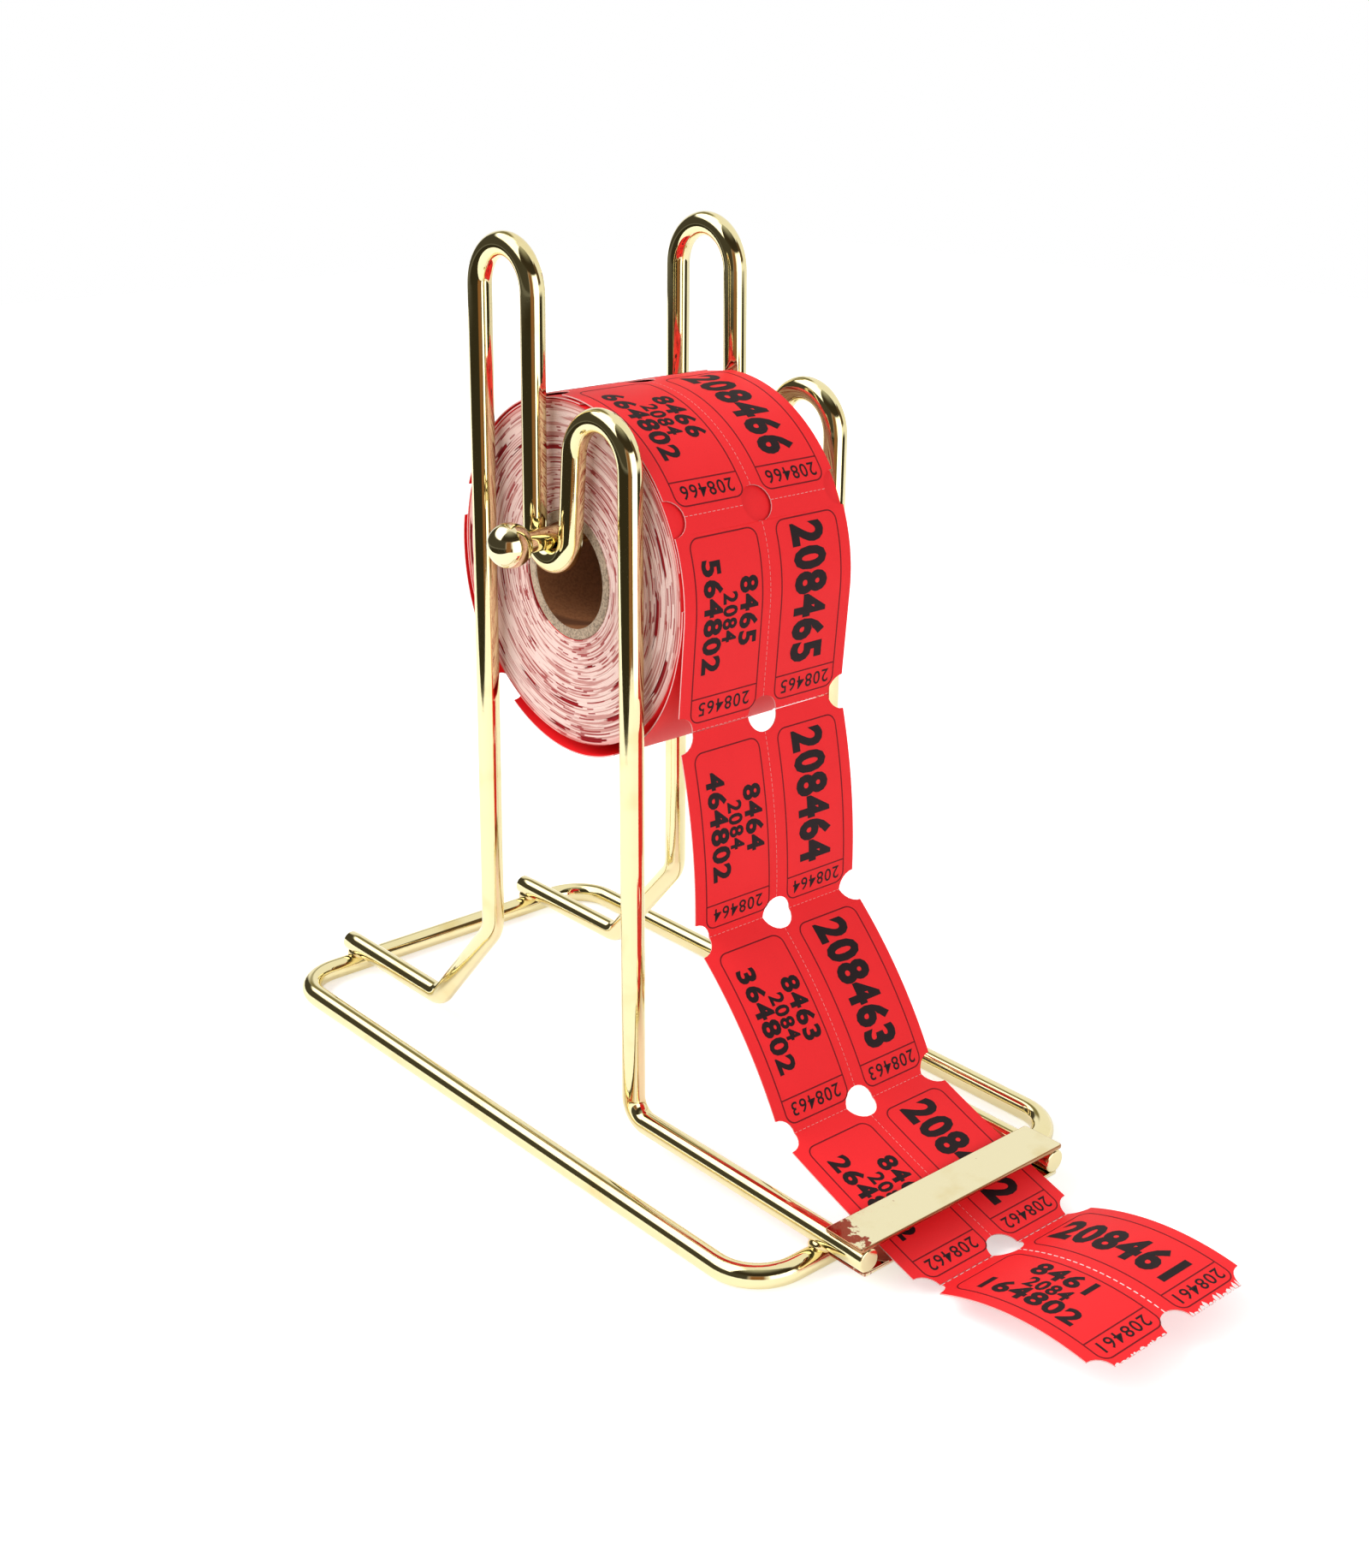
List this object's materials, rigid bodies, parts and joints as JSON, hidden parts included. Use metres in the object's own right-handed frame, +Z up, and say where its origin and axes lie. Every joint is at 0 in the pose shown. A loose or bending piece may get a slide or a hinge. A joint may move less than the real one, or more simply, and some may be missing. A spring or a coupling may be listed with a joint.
{
  "type": "counter ticket roll stand",
  "caption": "Bent-wire counter stand that holds a roll of double tickets on a lift-out axle and feeds the strip through a throat with a tear edge.",
  "frame": {"origin": "on the counter, under the middle of the whole length from the rear foot tips to the end ticket's torn edge, midway between the side frames", "axes": "+Z up, -Y the way the tickets leave, +X to the right of someone facing the stand from the front"},
  "size_m": [0.109, 0.2694, 0.2158],
  "materials": {
    "gold_wire": "mirror-polished pale gold plating over steel wire",
    "gold_plate": "polished pale gold plating over flat steel, slightly duller than the wire",
    "gold_ball": "mirror-polished pale gold plating",
    "weld": "plated over, rough where the metal was squeezed out",
    "ticket_card": "matt red card printed in black, white where torn",
    "winding": "cut edges of many turns, white card with red faces between them",
    "core_board": "brown spiral-wound board with a greyish cut end"
  },
  "bodies": {
    "stand": {"base_ring": "gold_wire", "side_frame_left": "gold_wire", "side_frame_right": "gold_wire", "tear_plate": "gold_plate", "throat_plate": "gold_plate", "weld_beads": "weld", "hanging_ticket_left": "ticket_card", "hanging_ticket_right": "ticket_card", "knee_ticket_left": "ticket_card", "knee_ticket_right": "ticket_card", "throat_ticket_left": "ticket_card", "throat_ticket_right": "ticket_card"},
    "axle": {"axle_rod": "gold_wire", "ball_left": "gold_ball", "ball_right": "gold_ball", "outer_turn": "ticket_card"},
    "roll": {"roll_core": "core_board", "ticket_winding": "winding"},
    "end_ticket": {"end_ticket_left": "ticket_card", "end_ticket_right": "ticket_card"}
  },
  "joints": [
    {"name": "axle_lift", "type": "slide", "parent": "stand", "child": "axle", "axis": [0, 0, 1], "range_m": [0, 0.04]},
    {"name": "roll_spin", "type": "hinge", "parent": "axle", "child": "roll", "pos_m": [0, 0.0307, 0.1385], "axis": [1, 0, 0], "continuous": true},
    {"name": "end_ticket_fold", "type": "hinge", "parent": "stand", "child": "end_ticket", "pos_m": [0, -0.0879, 0.0026], "axis": [-1, 0, 0], "range_deg": [0, 60]}
  ]
}
